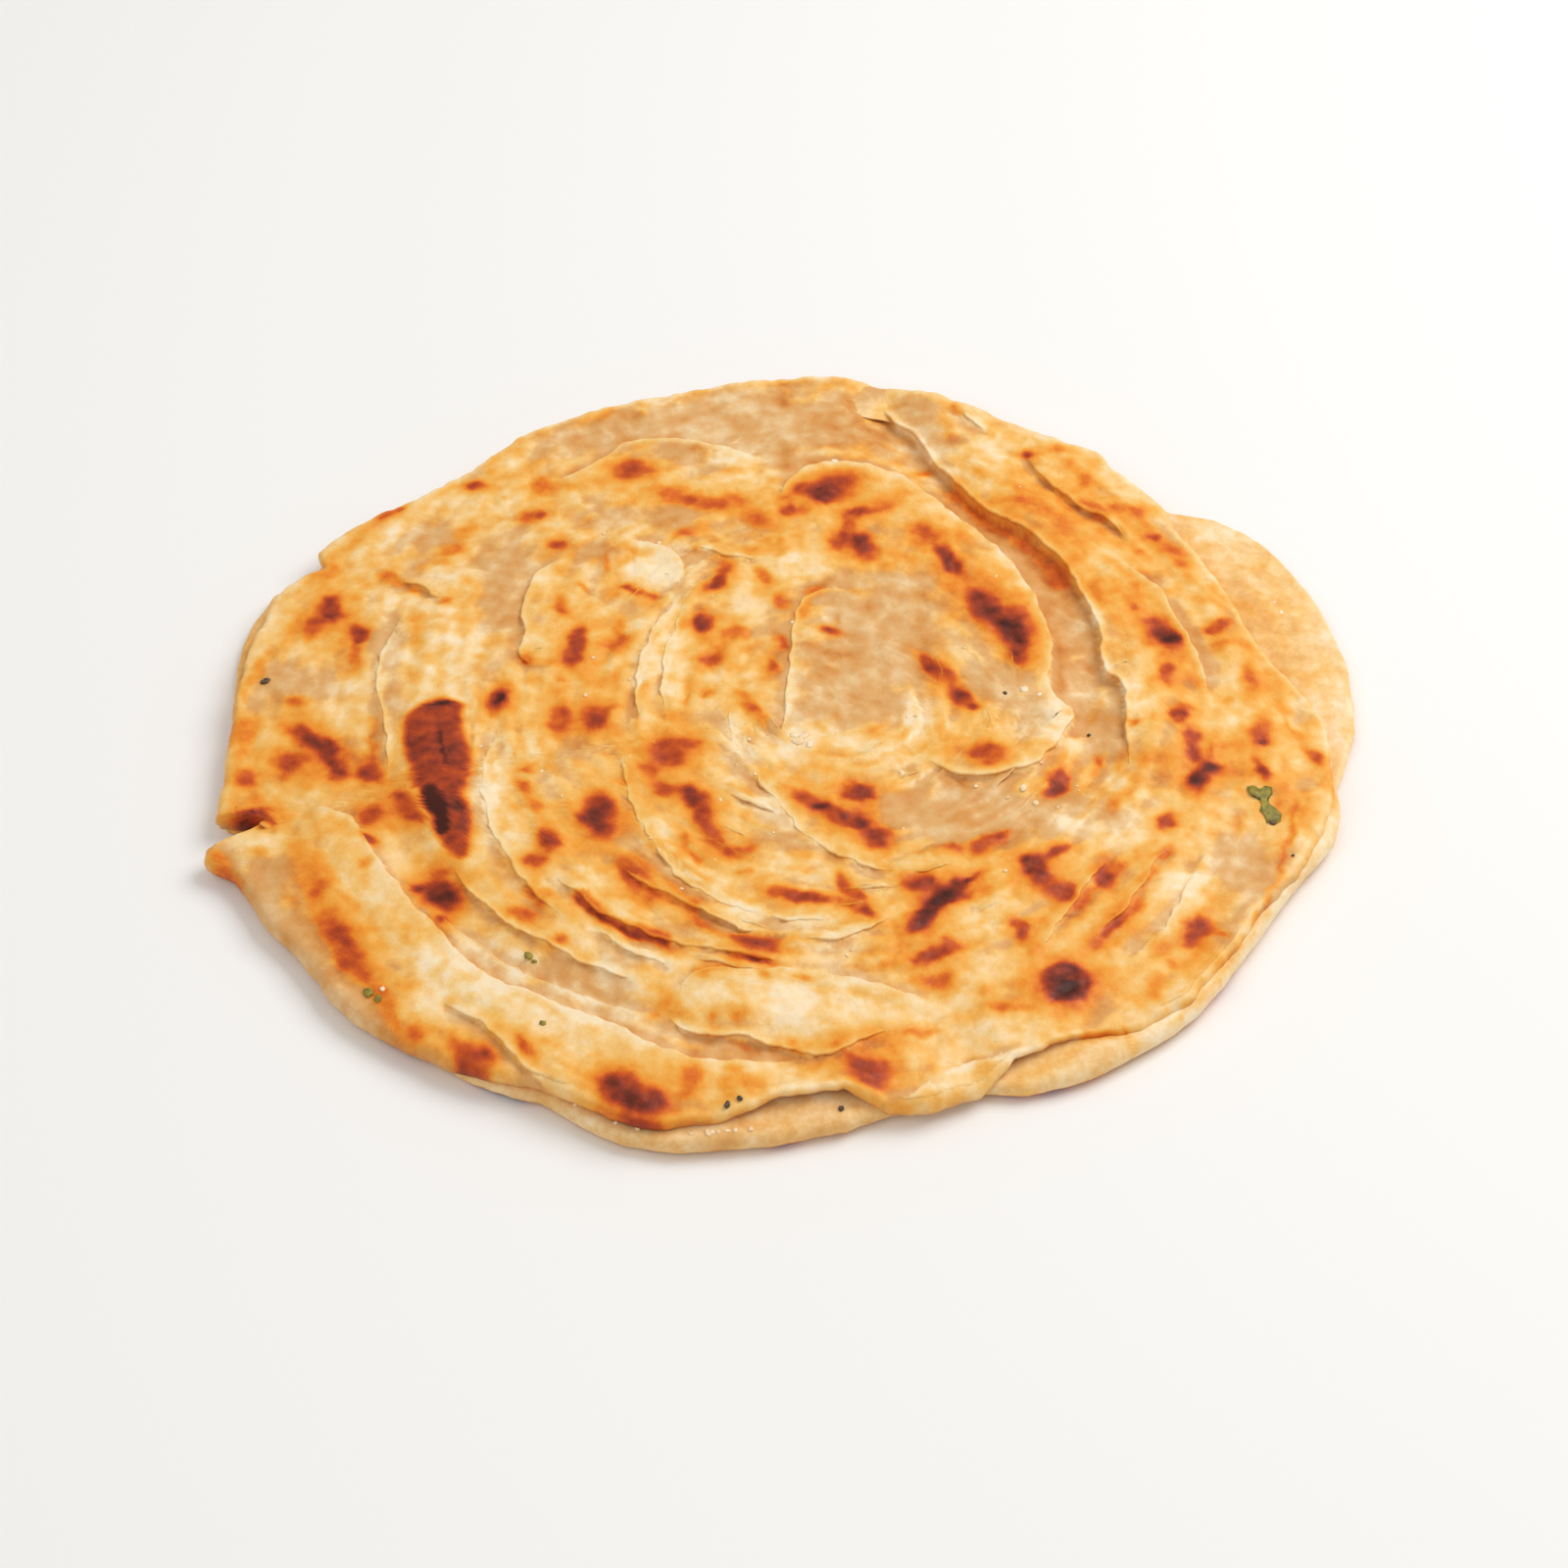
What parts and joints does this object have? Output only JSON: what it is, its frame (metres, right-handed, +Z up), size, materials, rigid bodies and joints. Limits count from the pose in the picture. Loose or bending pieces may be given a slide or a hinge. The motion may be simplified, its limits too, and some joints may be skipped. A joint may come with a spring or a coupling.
{
  "type": "layered paratha flatbread",
  "caption": "Coiled and rolled layered paratha flatbread, a low uneven disc with spiral ridges, folded leaves, a stepped rim and browned spots.",
  "frame": {"origin": "centre of the bread's bounding box, on the surface that it lies on", "axes": "+Z up through the bread's thickness, +Y towards its far side, +X to the right, the side of the pale lobe"},
  "size_m": [0.2006, 0.185, 0.0103],
  "materials": {
    "crust": "pan-toasted dough, lightly greased"
  },
  "bodies": {
    "root": {"paratha": "crust"}
  },
  "joints": []
}
